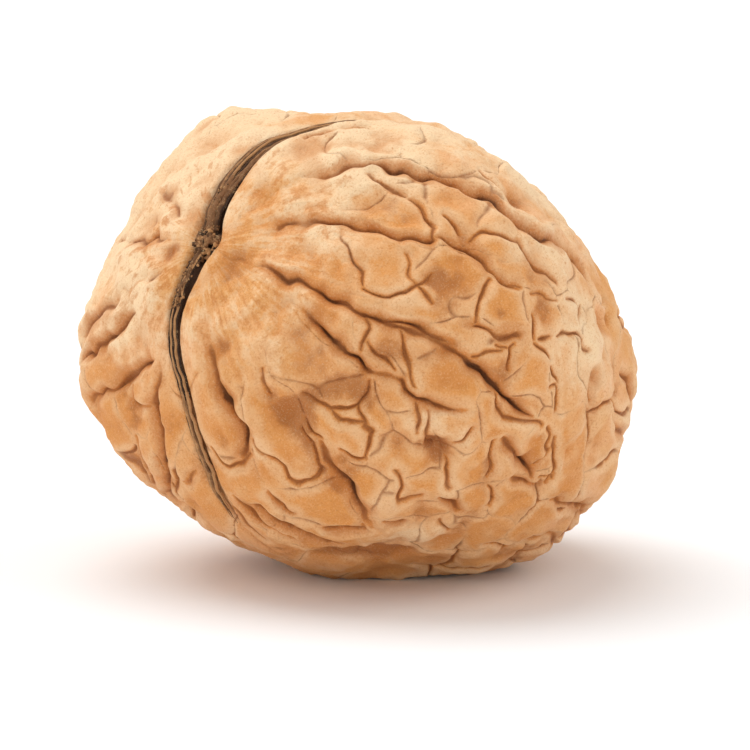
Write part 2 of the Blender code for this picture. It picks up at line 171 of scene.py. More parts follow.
def along_route(points, route, reach=LINE_REACH):
    """Distance of each point from the route, and the route's depth there."""
    away = np.full(len(points), reach)
    depth = np.zeros(len(points))
    low, high = route[:, :3].min(0) - reach, route[:, :3].max(0) + reach
    near = np.flatnonzero(((points > low) & (points < high)).all(1))
    for start, end in zip(route[:-1], route[1:]):
        step = (end - start)[:3]
        share = np.clip((points[near] - start[:3]) @ step / max(step @ step, 1e-9), 0, 1)
        gap = np.linalg.norm(points[near] - start[:3] - share[:, None] * step, axis=1)
        closer = gap < away[near]
        found = near[closer]
        away[found] = gap[closer]
        depth[found] = (start[3] + share * (end[3] - start[3]))[closer]
    return away, depth


def crease(corners, depth):
    """Corners of a thin line, shallower at both ends."""
    shares = np.sin(np.linspace(0.15, 0.85, len(corners)) * math.pi)
    return tuple((down, around, depth * share) for (down, around), share in zip(corners, shares))


# %% [markdown]
# ## What is pressed into the shell
#
# These tables are the nut's own face, read from the photograph: broad swellings and flats, the
# main furrows with their depths, the thin creases between plates, and pits. Most were read against a
# globe's lines drawn over the picture. The seam, four of the far furrows and a few single places were
# read as places in the picture, which a scratch program turned into degrees, and then rounded or moved by
# hand. The finer mesh can hold more creases than the imported solid has. Lengths are millimetres.

# %% Swellings: place, radius, rise
SWELLINGS = (
    ((55, 213), 5.0, 0.90), ((53, 212), 3.0, 0.45), ((62, 190), 5.5, -0.55), ((45, 265), 6.0, -0.8),
    ((63, 262), 4.0, -0.6), ((70, 174), 6.0, -0.5), ((57, 308), 5.5, 0.75), ((101, 146), 5.0, -0.35),
    ((128, 122), 5.0, 0.45), ((124, 106), 9.0, -0.40), ((115, 16), 5.0, -0.8), ((114, 346), 4.5, 0.35),
    ((132, 44), 6.0, 0.6), ((96, 4), 5.0, -0.25), ((128, 300), 7.0, 0.3), ((95, 230), 7.0, 0.35),
)
print("swellings", len(SWELLINGS))

# %% Furrows of the near cheek: half width, then places with depths
NEAR_FURROWS = (
    (0.50, ((12, 147, 0.15), (22, 147, 0.25), (31, 145, 0.35), (34, 142.5, 0.35), (41.5, 142.5, 0.5),
            (45, 141, 0.7), (49.5, 137.7, 1.0), (54.5, 134.5, 1.2), (60, 133, 1.3), (63.5, 131, 1.3),
            (67, 129.5, 1.3), (69.5, 128.5, 1.3), (72, 126.5, 1.1), (74, 124, 1.0), (77, 122.5, 1.1),
            (80.5, 121.5, 1.1), (85.5, 121, 0.8), (92, 123.5, 0.7), (97, 122.5, 0.8), (102, 120, 0.3))),
    (0.36, ((16.5, 121, 0.35), (22.5, 120, 0.5), (28.5, 117.5, 0.55), (34, 113.5, 0.7), (37, 113.5, 0.7),
            (40, 112, 0.8), (42.5, 110.5, 0.9), (46, 109, 0.9), (49, 109.5, 0.9), (51.5, 108.5, 0.9),
            (52.5, 108.5, 0.3))),
    (0.45, ((53, 109.5, 0.3), (58, 109.5, 0.9), (61.5, 109.8, 0.9), (63.5, 107.5, 0.5), (67.5, 104.5, 0.35),
            (73.5, 103, 0.4), (76, 101.5, 0.25))),
    (0.38, ((3, 62, 0.3), (6.5, 71, 0.4), (10.5, 75.5, 0.5), (16.5, 77.5, 0.65), (23.5, 77.5, 0.75),
            (30, 77, 0.8), (36.5, 77, 0.8), (43, 77.5, 0.9), (53.5, 80, 0.9), (58.5, 81, 0.8),
            (64, 81.5, 0.3))),
    (0.45, ((44.5, 79, 0.3), (47, 78, 0.5), (50, 77, 0.6), (52, 77.3, 0.6), (55.5, 79.5, 0.6),
            (62, 80, 0.7), (67.5, 80.3, 0.8), (71, 78.7, 1.0), (74, 78, 1.1), (77, 77.5, 1.2),
            (79.5, 77, 1.4), (82.5, 76.5, 1.3), (85.5, 75.5, 1.2), (88, 75.5, 1.1), (92.5, 76, 0.4))),
    (0.45, ((25.5, 67, 0.2), (30.5, 66, 0.5), (34, 65, 0.8), (37, 63.5, 1.0), (39.5, 62.7, 1.1),
            (43, 63.5, 1.0), (46, 63, 1.0), (49, 61.7, 0.9), (51.5, 61.8, 0.7), (54.5, 63.3, 0.7),
            (58, 65, 0.8), (60.5, 63.5, 0.8), (63.5, 63, 0.8), (66.5, 64.5, 0.9), (69, 65.5, 0.9),
            (71.5, 66.3, 0.7), (74, 67.5, 0.5), (77.5, 69, 0.3))),
    (0.50, ((20.5, 13.5, 0.2), (27.5, 12.5, 0.4), (34.5, 13, 0.6), (39, 15, 1.0), (44.5, 17.5, 1.3),
            (49.5, 16.8, 1.3), (53.5, 15.5, 0.9), (56, 13, 0.4))),
    (0.50, ((70, 8.5, 0.3), (73.5, 10.5, 0.8), (77, 12, 0.9), (80.5, 14, 0.9), (84, 15, 0.8),
            (88, 17, 0.6), (91, 18.5, 0.5))),
    (0.35, ((64.5, 15, 0.3), (67, 14.8, 0.5), (69.8, 15, 0.5), (72.3, 15.8, 0.5), (73.7, 17.5, 0.3))),
    (0.45, ((66, 5, 0.3), (70, 6, 0.5), (75, 7.5, 0.5), (79, 9, 0.4), (84, 11, 0.3))),
    (0.45, ((72, 0.5, 0.3), (76, 1.5, 0.5), (80, 2.5, 0.5), (84, 3.5, 0.3))),
    (0.55, ((58, 36, 0.3), (61.5, 34.5, 0.4), (65, 34, 0.5), (69, 33.5, 0.7), (73, 33, 0.9),
            (77, 32.7, 0.9), (80.5, 32.5, 0.7), (84, 31.5, 0.6), (86, 30.5, 0.4))),
    (0.45, ((81.5, 20.5, 0.4), (84, 23.5, 0.7), (86, 28.5, 0.7), (83.5, 30.5, 0.3))),
    (0.45, ((66, 88, 0.7), (70.5, 88.5, 0.9), (76.5, 89.5, 0.6), (79, 90.5, 0.3))),
    (0.50, ((90, 66.5, 0.3), (92.5, 66.5, 0.6), (97, 65, 0.8), (100.5, 65, 1.0), (104, 63.5, 0.4))),
    (0.40, ((98.5, 60.5, 0.3), (103, 61, 0.5), (107, 61.5, 0.3))),
    (0.35, ((90, 46.8, 0.3), (92, 47, 0.7), (94, 47, 0.9), (96.8, 45.8, 0.5))),
    (0.40, ((85.5, 34, 0.4), (88, 34.5, 0.6), (90.5, 35, 0.4))),
    (0.35, ((38, 168.5, 0.3), (42, 167.3, 0.5), (46, 165.5, 0.4), (50, 163.5, 0.3), (54, 161.5, 0.2))),
)
print("near furrows", len(NEAR_FURROWS))

# %% Thin creases between the plates of the near cheek
NEAR_CREASES = (
    ((55, 16), (57, 11.5), (57, 8), (55, 5.5), (52.5, 4)),
    ((31.5, 107), (33, 103), (35, 97), (36.8, 92), (38.5, 87)),
    ((39, 85.5), (42.5, 84.5), (46, 85.5), (48.5, 88), (49.8, 92.5), (51.5, 95), (54, 98)),
    ((49.8, 92), (52.5, 90.5), (54.8, 89)),
    ((49, 124.5), (51.5, 120.5), (52.5, 117), (53, 113.5), (52, 109)),
    ((41.5, 136), (43.5, 133), (45.5, 129), (48.5, 126)),
    ((71, 137.5), (73.5, 133.5), (76, 131)),
    ((56, 119.5), (58.5, 117.5), (59.5, 115)),
    ((67.5, 101.5), (65.5, 98.5), (65, 95.5), (65, 92.5), (65.5, 89)),
    ((75.5, 117), (77, 114.5), (79, 112), (81, 111.5), (84, 110.5), (89, 110)),
    ((62, 113.5), (67, 116), (73, 116), (75.5, 117)),
    ((72.5, 103.8), (75.5, 103)),
    ((34, 77.5), (37, 77.5), (40, 77), (42.5, 77)),
    ((51, 76), (53, 74), (55.5, 71.5), (58, 69), (61, 66.5)),
    ((45.8, 69.8), (48.5, 68.7), (51.5, 67.8), (55, 66)),
    ((42.5, 76.5), (44.5, 73), (44.5, 71.5), (45, 68.5), (46, 66)),
    ((52.5, 59), (54, 56.5), (55, 52.5), (53.5, 48.5), (52, 45.2), (49.5, 44.2), (47, 42.5), (44, 41)),
    ((55, 52.5), (57, 50), (59.5, 48), (62, 48), (64, 46), (66.5, 43.5), (67.5, 42)),
    ((52, 45.2), (55, 45.5), (57, 46.8), (58.5, 48.5)),
    ((61.5, 39), (64, 39.5), (66, 41), (67.5, 42.3)),
    ((64, 62), (66, 59.5), (68.3, 57.5), (70.5, 56)),
    ((34, 35.5), (38, 33), (41, 32)),
    ((51, 36), (53.5, 36), (56.5, 37)),
    ((51, 19.8), (57, 21), (60.5, 22), (63.5, 22.5), (65.5, 24.5), (66.5, 26.8), (66, 28.8), (64.8, 31),
     (61.5, 31.7), (58, 33), (55, 33.2), (53, 32.5)),
    ((69, 81.5), (71, 83), (74.5, 85)),
    ((73, 86.5), (76, 86)),
    ((78.5, 88), (77, 86), (77.5, 84), (79.5, 82)),
    ((80.5, 97.5), (81.8, 95), (83, 92.8)),
    ((84.8, 93.3), (86.5, 94), (88.5, 95)),
    ((90.5, 95.5), (92, 98), (94.5, 99.2), (97.2, 99.3), (99.8, 98)),
    ((83.5, 91.8), (86, 91), (88.5, 90.5)),
    ((91, 89), (92.5, 88), (94.3, 86)),
    ((93, 83.5), (94.2, 84.8), (96, 83.3), (97.5, 80.5)),
    ((91, 107), (94, 107.5), (96.5, 107.3)),
    ((97.5, 109), (96.5, 104)),
    ((104.5, 90), (107, 88)),
    ((79.5, 59.5), (80, 61.5), (80.5, 63.5), (81.3, 65.3)),
    ((82.5, 55.5), (84, 53), (86.3, 51.5), (89, 51)),
    ((88, 65), (91, 62.5), (93, 60), (94.5, 57.5)),
    ((96, 55), (99, 54), (100, 52)),
    ((98.5, 76), (100.8, 73), (103, 71.5), (103, 68), (103, 65.5)),
    ((106, 64.8), (109.5, 66)),
    ((80, 75.5), (81.5, 73.5), (83.5, 72), (86.2, 71.8), (89.5, 73), (92.5, 74.5), (96.5, 75.2)),
    ((74, 46), (77, 44.5), (79.5, 43), (82.3, 40), (83.8, 41.3), (85.3, 43.8)),
    ((95.5, 41), (98, 40), (101, 40)),
    ((110.5, 41.5), (113.5, 43), (116, 43), (117.5, 41)),
    ((67.5, 62.5), (71.5, 58.5), (74.5, 56)),
    ((101, 75), (105, 71), (107.5, 67), (109, 64)),
)
FAINT_CREASES = (
    ((46, 103), (47.5, 98), (49.8, 92)),
    ((80.5, 103), (84, 104), (88, 105)),
)
FAINT_STRENGTH = 0.5
print("creases", len(NEAR_CREASES) + len(FAINT_CREASES))

# %% Furrows of the far cheek beside the seam
FAR_FURROWS = (
    (0.40, ((31, 341, 0.2), (34, 335.5, 0.6), (38.5, 331, 0.6), (43.5, 326, 0.6), (50, 320.5, 0.6),
            (58, 313, 0.4))),
    (0.45, ((25.5, 316, 0.2), (31.5, 313, 0.7), (35.5, 312.5, 0.8), (42, 309, 0.8), (49, 306, 0.7),
            (55, 305, 0.4))),
    (0.60, ((30, 300, 0.3), (37, 299, 0.7), (44, 297, 0.8), (52, 296, 0.5))),
    (0.50, ((31, 342.5, 0.2), (37.5, 345, 0.5), (44.5, 342, 0.8), (50, 344.8, 1.0), (57, 344.5, 1.0),
            (65, 343.5, 1.0), (74, 340, 0.8), (84, 335, 0.4))),
    (0.35, ((41, 330.5, 0.2), (47, 332, 0.4), (47, 336.5, 0.4), (46, 340, 0.3))),
    (0.35, ((60, 356, 0.3), (63, 352.5, 0.4), (67, 347.5, 0.3))),
    (0.40, ((9.5, 315, 0.2), (15, 310, 0.4), (20, 303, 0.3), (27, 299, 0.2))),
    (0.55, ((12, 236, 0.2), (16, 235, 0.5), (22, 235, 0.5), (28, 233, 0.3))),
    (0.50, ((10, 268, 0.2), (14, 267, 0.45), (24, 267, 0.5), (32, 265, 0.4), (40, 262, 0.3))),
)
print("far furrows", len(FAR_FURROWS))

# %% Pits: place, radius, depth
PITS = (
    ((67.5, 52.5), 1.3, 0.7), ((72.5, 54), 0.6, 0.4), ((75.8, 56), 0.6, 1.2), ((78.5, 56), 0.9, 1.0),
    ((80.5, 56), 0.7, 0.6), ((98.3, 65), 0.8, 0.5), ((87, 76.5), 0.7, 0.3), ((81, 65.5), 0.7, 0.5),
    ((80, 68.5), 0.5, 0.3), ((107.8, 62), 0.7, 0.6), ((108.5, 74), 0.6, 0.4), ((83, 73), 0.9, 0.4),
    ((79, 130.5), 0.8, 0.6), ((60.5, 113), 0.6, 0.4), ((47, 33), 0.9, 0.5), ((40.5, 32.5), 0.7, 0.4),
    ((26.5, 19.5), 0.9, 0.5), ((106.5, 111.5), 0.9, 0.6), ((111, 115.5), 0.8, 0.6),
    ((105.5, 94.5), 0.9, 0.6), ((107.5, 101.5), 0.6, 0.4), ((117, 96.5), 0.8, 0.4), ((71, 31.5), 1.2, 0.5),
    ((98, 20), 2.2, 0.9), ((95, 14), 1.8, 0.6), ((103, 24), 1.8, 0.6), ((64.8, 31), 0.4, 0.3),
    ((31.5, 192), 0.8, 0.35), ((17, 303), 0.5, 0.4), ((9, 285), 0.9, 0.7), ((10, 225), 0.8, 0.5),
)
print("pits", len(PITS))

# %% Plates with a dished middle, which the finish paints brown as shade: place, radius, depth
DISHES = (
    ((66, 38), 1.7, 0.35), ((62, 11), 1.4, 0.3), ((41, 123), 1.9, 0.35), ((62, 98), 2.0, 0.4),
    ((84, 101), 1.4, 0.4), ((79.5, 106.5), 1.4, 0.35), ((73, 99), 1.6, 0.3), ((52, 73), 1.4, 0.25),
    ((61, 75.5), 1.5, 0.3), ((63, 72), 1.3, 0.25), ((42, 51), 2.0, 0.35), ((50, 54), 1.7, 0.35),
    ((90, 43), 1.3, 0.3), ((92, 58.5), 1.5, 0.3), ((46.5, 33), 1.6, 0.35), ((62, 30), 1.4, 0.3),
)
print("dished plates", len(DISHES))

# %% Creamy patches, partly painted light since most lie on the upper side, and deep golden stretches, partly painted shade since most lie lower down: place, radius, share
PALE_AND_PAINTED_LIGHT_PATCHES = (
    ((45, 154), 9.0, 0.8), ((64, 160), 10.0, 0.7), ((95, 150), 8.0, 0.8), ((30, 205), 8.0, 1.0),
    ((55, 215), 10.0, 1.0), ((25, 300), 6.0, 0.8), ((28, 120), 5.0, 0.6), ((35, 262), 7.0, 0.9),
    ((55, 285), 7.0, 0.9), ((70, 262), 8.0, 0.8), ((38, 48), 3.5, 0.4), ((96, 30), 4.0, 0.6),
    ((84, 118), 5.0, 0.6), ((100, 100), 6.0, 0.7), ((72, 62), 3.0, 0.5), ((100, 240), 12.0, 0.7),
    ((140, 200), 12.0, 0.6), ((25, 60), 6.0, 0.3),
)
AMBER_AND_PAINTED_SHADE_PATCHES = (
    ((43, 125), 4.0, 0.9), ((42, 100), 4.0, 0.6), ((72, 70), 10.0, 1.0), ((60, 30), 9.0, 0.9),
    ((85, 30), 10.0, 1.0), ((100, 60), 9.0, 1.0), ((72, 105), 6.0, 0.8), ((60, 330), 8.0, 0.9),
    ((120, 330), 14.0, 0.8), ((41, 98), 9.0, 0.9), ((60, 61), 7.0, 0.8), ((62, 2), 7.0, 1.0),
    ((50, 354), 6.0, 1.0), ((56, 127), 5.0, 0.5), ((33, 58), 5.0, 0.5),
)
print("patches", len(PALE_AND_PAINTED_LIGHT_PATCHES) + len(AMBER_AND_PAINTED_SHADE_PATCHES))

# %% [markdown]
# ## Plates
#
# Between the furrows the shell is a patchwork of plates, like dried mud. Their middles are read from the
# photograph on the near cheek and scattered evenly elsewhere, and each point of the shell belongs to the
# nearest middle. The border, where two middles are equally near, becomes a thin crease.

# %% Middles of the plates
NEAR_PLATES = (
    (41, 98), (56, 97), (72, 95), (85, 98), (93, 93), (86, 85), (69, 84), (75, 83), (65, 73.5), (51, 73),
    (52, 65.5), (36, 72), (42, 54), (53, 51), (57, 44), (68, 38), (57, 27), (74, 25), (42, 9), (64, 9),
    (50, 155), (70, 148), (35, 130), (43, 118), (60, 120), (72, 117), (76, 107), (90, 117), (98, 112),
    (95, 105), (103, 104), (108, 112), (76, 61.5), (89, 58), (96.5, 50.5), (88, 70.5), (100, 70),
    (104, 58), (112, 68), (75, 49), (70, 56), (85, 45), (89.5, 40.5), (99, 37.5), (93, 33.5), (103, 44),
)
PLATE_COUNT = 190
PLATE_CLEAR = 4.6
PLATE_SCATTER = 0.045


def plate_middles():
    """The near plates as read, and evenly scattered ones on the rest of the nut."""
    near = ball_point(direction(*np.array(NEAR_PLATES, float).T))[0]
    draw = np.random.default_rng(5)
    turn = math.pi * (3 - math.sqrt(5))
    level = 1 - 2 * (np.arange(PLATE_COUNT) + 0.5) / PLATE_COUNT
    swing = np.arange(PLATE_COUNT) * turn
    spread = np.sqrt(1 - level**2)
    unit = np.stack([level, spread * np.cos(swing), spread * np.sin(swing)], 1)
    unit += draw.normal(size=unit.shape) * PLATE_SCATTER
    rest = ball_point(normed(unit))[0]
    gap = np.linalg.norm(rest[:, None] - near[None], axis=2).min(1)
    return np.concatenate([near, rest[gap > PLATE_CLEAR]])


def plates(points, unit):
    """Distance from the border of the plate that each point is in, the plate's number and its lean."""
    stem = np.array([1.0, 0.0, 0.0])
    lengthwise = stem - unit * unit[:, :1]
    lengthwise /= np.maximum(np.linalg.norm(lengthwise, axis=1, keepdims=True), 1e-6)
    squeeze = 0.5 + 0.4 * ease(unit[:, 0], 0.7, -0.2)
    warped = points + 0.45 * wobble(points, 5.0, 21)
    warped += 0.05 * wobble(points, 1.7, 24)
    draw = np.random.default_rng(8)
    first, second = np.full((2, len(points)), 1e9)
    number = np.zeros(len(points), int)
    lean = np.zeros(len(points))
    for index, middle in enumerate(plate_middles()):
        offset = middle - warped
        lengthways = (offset * lengthwise).sum(1)
        gap = np.sqrt((offset**2).sum(1) - (1 - squeeze**2) * lengthways**2)
        second = np.minimum(second, np.maximum(first, gap))
        nearer = gap < first
        first = np.where(nearer, gap, first)
        number[nearer] = index
        lean[nearer] = offset[nearer] @ draw.normal(size=3)
    return (second - first) / 2, number, lean


print("plates", len(plate_middles()))

# %% [markdown]
# ## The seam
#
# The two halves meet in a seam that runs right round through the stem end and the tip. Round the stem end
# it is a groove that holds the strand; further on it closes to a crack, and near the tip it is a low keel.

# %% Course and width of the seam
SEAM = {
    "upper": ((2, 212), (6, 198), (11, 192), (17, 188.5), (24, 186), (30, 183.5), (37.5, 181.5),
              (43, 179.5), (50, 177.5), (60, 175), (75, 173), (90, 172.5), (120, 176), (150, 179),
              (178, 180)),
    "under": ((2, 310), (5, 335), (9, 342), (14, 343), (18, 344), (22.5, 346.5), (26.5, 349), (31, 352.2),
              (36, 355), (44, 358), (52, 359), (60, 359.3), (70, 359), (78, 359), (90, 360), (120, 360),
              (150, 360), (178, 360)),
}
GROOVE = {
    "upper": {"down": (0, 14, 30, 40, 50, 60, 80),
              "half": (0.95, 1.05, 1.10, 1.02, 0.85, 0.55, 0.10),
              "deep": (0.80, 0.72, 0.60, 0.50, 0.40, 0.28, 0.06)},
    "under": {"down": (0, 12, 25, 36, 46, 60, 74, 86),
              "half": (0.85, 0.66, 0.58, 0.54, 0.50, 0.52, 0.42, 0.16),
              "deep": (0.80, 0.75, 0.70, 0.55, 0.42, 0.34, 0.28, 0.10)},
}
SEAM_LIP, SEAM_LIP_AWAY, SEAM_LIP_WIDTH = 0.20, 2.3, 1.0
VALLEY_DEPTH, VALLEY_WIDTH = 0.30, 1.5
KEEL_RISE, KEEL_WIDTH, CRACK_WIDTH = 0.45, 2.4, 0.28


def seam_route(branch):
    return smooth_route([(*place, 0.0) for place in SEAM[branch]])


def groove_at(branch, measure, down):
    """Half width or depth of the groove at these degrees down."""
    return np.interp(down, GROOVE[branch]["down"], GROOVE[branch][measure])


def seam_shape(points, down):
    """Height of the seam's valley, lips, groove and keel; distance from it; and how deep the groove is."""
    nearest = np.full(len(points), LINE_REACH)
    half, deep = np.zeros((2, len(points)))
    for branch in SEAM:
        away = along_route(points, seam_route(branch))[0]
        closer = away < nearest
        nearest[closer] = away[closer]
        half[closer] = groove_at(branch, "half", down[closer])
        deep[closer] = groove_at(branch, "deep", down[closer])
    stem_share = ease(down, 96, 70)
    lips = SEAM_LIP * bell(nearest - SEAM_LIP_AWAY, SEAM_LIP_WIDTH)
    lips -= VALLEY_DEPTH * bell(nearest, VALLEY_WIDTH)
    keel = KEEL_RISE * bell(nearest, KEEL_WIDTH) - KEEL_RISE * bell(nearest, CRACK_WIDTH)
    cut = deep * ease(nearest, 1.35 * half, 0.6 * half)
    return stem_share * lips + (1 - stem_share) * keel - cut, nearest, cut


print("groove", GROOVE["upper"]["deep"][0], "mm deep at the stem end")

# %% [markdown]
# ## Relief of the lines and plates
#
# A furrow is a narrow cut in a soft valley, between two raised lips. A crease is a thin cut with small
# lips, and a plate is a low dome with a slight dish in it. Each function also keeps what the colour needs
# later, such as how near a point is to a dark line.

# %% Furrows that the photograph doesn't show
def wandering_furrows():
    """Furrows of the hidden far cheek and of the tip's end, each a lengthwise walk with a side branch."""
    draw = np.random.default_rng(11)
    for around in np.arange(196, 345, 15.5):
        start, end = draw.uniform(26, 46), draw.uniform(96, 140)
        down = np.linspace(start + (30 if around < 262 else 20), end, 8)
        turn = around + np.cumsum(draw.uniform(-4.5, 4.5, 8)) * ease(down, 20, 60)
        depth = draw.uniform(0.5, 1.1) * np.sin(np.linspace(0.12, 0.9, 8) * math.pi)
        yield draw.uniform(0.4, 0.6), tuple(zip(down, turn, depth))
        side = draw.choice((-1, 1)) * draw.uniform(5, 8)
        branch = ((down[3], turn[3], 0.3), (down[4], turn[3] + 0.6 * side, 0.5),
                  (down[5], turn[4] + side, 0.3))
        yield 0.4, branch
    for around in np.arange(20, 180, 22):
        down = np.linspace(draw.uniform(112, 120), draw.uniform(138, 152), 5)
        turn = around + np.cumsum(draw.uniform(-8, 8, 5))
        depth = draw.uniform(0.4, 0.8) * np.sin(np.linspace(0.15, 0.85, 5) * math.pi)
        yield 0.45, tuple(zip(down, turn, depth))


print("hidden furrows", len(list(wandering_furrows())))

# %% Furrows: share of the depth and width of the cut, the soft part round it and the lips
CUT_SHARE, CUT_WIDTH, CUT_POWER = 0.46, 0.42, 1.2
SOFT_SHARE, SOFT_WIDTH = 0.24, 2.1
LIP_SHARE, LIP_AWAY, LIP_WIDTH = 0.12, 2.1, 0.7
FURROW_REACH = 4.0
RIPPLE_LIMIT = 1.8


def furrow_relief(points, wavy):
    """Cuts, soft parts and lips; half widths to the nearest furrow and its depth; distance to a line."""
    cuts, soft, lips, furrow_depth = np.zeros((4, len(points)))
    furrow = np.full(len(points), 5.0)
    line_gap = np.full(len(points), LINE_REACH)
    wider = 1 + 0.22 * np.clip(ripple(points, 2.6, 61), -RIPPLE_LIMIT, RIPPLE_LIMIT)
    deeper = 1 + 0.25 * np.clip(ripple(points, 3.4, 62), -RIPPLE_LIMIT, RIPPLE_LIMIT)
    for half_width, corners in (*NEAR_FURROWS, *FAR_FURROWS, *wandering_furrows()):
        away, depth = along_route(wavy, smooth_route(corners), FURROW_REACH)
        depth = np.maximum(depth, 0) * deeper
        reach = away / (half_width * wider)
        cuts = np.maximum(cuts, CUT_SHARE * depth * bell(reach, CUT_WIDTH, CUT_POWER))
        soft = np.maximum(soft, SOFT_SHARE * depth * bell(away, SOFT_WIDTH * half_width))
        lips = np.maximum(lips, LIP_SHARE * np.minimum(depth, 1) * bell(reach - LIP_AWAY, LIP_WIDTH))
        tapered = reach + 1.6 * ease(depth, 0.45, 0.05)
        nearer = tapered < furrow
        furrow[nearer] = tapered[nearer]
        furrow_depth[nearer] = depth[nearer]
        line_gap = np.minimum(line_gap, away + 0.8 * ease(depth, 0.3, 0.05))
    return cuts, soft, lips, furrow, furrow_depth, line_gap


# %% Thin creases
CREASE_HALF_WIDTH = 0.11
CREASE_DEPTH = 0.23
CREASE_REACH = 2.2
CREASE_LIP, CREASE_LIP_AWAY, CREASE_LIP_WIDTH = 0.30, 0.50, 0.25


def crease_relief(wavy):
    """Cuts and lips of the creases as read, the gap that colours them, and the distance to them."""
    cuts, lips = np.zeros((2, len(wavy)))
    crease_gap = np.full(len(wavy), 1.5)
    line_gap = np.full(len(wavy), LINE_REACH)
    for strength, table in ((1.0, NEAR_CREASES), (FAINT_STRENGTH, FAINT_CREASES)):
        for corners in table:
            route = smooth_route(crease(corners, strength * CREASE_DEPTH))
            away, depth = along_route(wavy, route, CREASE_REACH)
            cuts = np.maximum(cuts, depth * np.exp(-away / CREASE_HALF_WIDTH))
            lips = np.maximum(lips, CREASE_LIP * depth * bell(away - CREASE_LIP_AWAY, CREASE_LIP_WIDTH))
            crease_gap = np.minimum(crease_gap, away + 0.09 * (1 - depth / CREASE_DEPTH))
            line_gap = np.minimum(line_gap, away)
    return cuts, lips, crease_gap, line_gap


# %% Plates
PLATE_RISE, PLATE_EDGE = 0.24, 0.40
PLATE_DISH = 0.12
PLATE_STEP, PLATE_LEAN = 0.07, 0.030


def plate_relief(points, unit, down, turn, line_gap):
    """Dome and step of the plates, cuts between them, the gap that colours the cuts, border and tint."""
    edge_gap, number, lean = plates(points, unit)
    traced = ease(down, 114, 104) * ease(turn, -6, 6) * ease(turn, 168, 150) * ease(down, 30, 40)
    away_from_lines = ease(line_gap, 0.12, 0.60)
    stem_fade = ease(down, 22, 48)
    broken = 0.35 + 0.65 * ease(ripple(points, 6.5, 51), -1.0, 0.0)
    smooth_side = ease(turn, -6, -16) * ease(turn, -179, -172) * ease(down, 58, 44)
    plated = away_from_lines * broken * (1 - 0.40 * traced) * (1 - 0.85 * smooth_side)
    thin = plated * stem_fade
    cuts = CREASE_DEPTH * thin * np.exp(-edge_gap / CREASE_HALF_WIDTH)
    inner = np.minimum(edge_gap, line_gap)
    border = np.minimum(edge_gap + 0.9 * (1 - plated), line_gap)
    dome = PLATE_RISE * (1 - bell(border, PLATE_EDGE, 1.5)) - PLATE_DISH * ease(border, 0.7, 2.0)
    draw = np.random.default_rng(9)
    tint = draw.uniform(-1, 1, number.max() + 1)[number] * ease(inner, 0.1, 0.9)
    step = (PLATE_STEP * tint + PLATE_LEAN * lean) * ease(inner, 0.0, 1.1) * stem_fade
    return dome * (0.35 + 0.65 * stem_fade), step, cuts, edge_gap + 0.16 * (1 - thin), border, tint


# %% [markdown]
# ## All the relief together
#
# One function adds the shapes up: swellings, seam, furrows, creases and plates, then dents all over, fine
# rays round the stem end, and the pits and dishes.

# %% Dents as height, wave and seed, and rays as size, count and turn
DENTS = ((0.12, 5.0, 41), (0.070, 2.6, 42), (0.030, 1.2, 43))
RAYS = ((1.0, 13, 0.7), (0.8, 23, 2.1), (0.6, 37, 4.0))
RAY_HEIGHT = 0.030
SINK = 0.5
LINE_WOBBLE = 0.13
KNOT_PLACE, KNOT_DENT, KNOT_WIDTH = (1.8, 221), 0.30, 1.5
TIP_PLACE, TIP_RISE, TIP_WIDTH = (180, 0), 1.1, 2.2


def strongest(points, table, power=2):
    """The strongest of a table's round spots at each point."""
    most = np.zeros(len(points))
    for place, radius, strength in table:
        most = np.maximum(most, strength * bell(distance(points, place), radius, power))
    return most


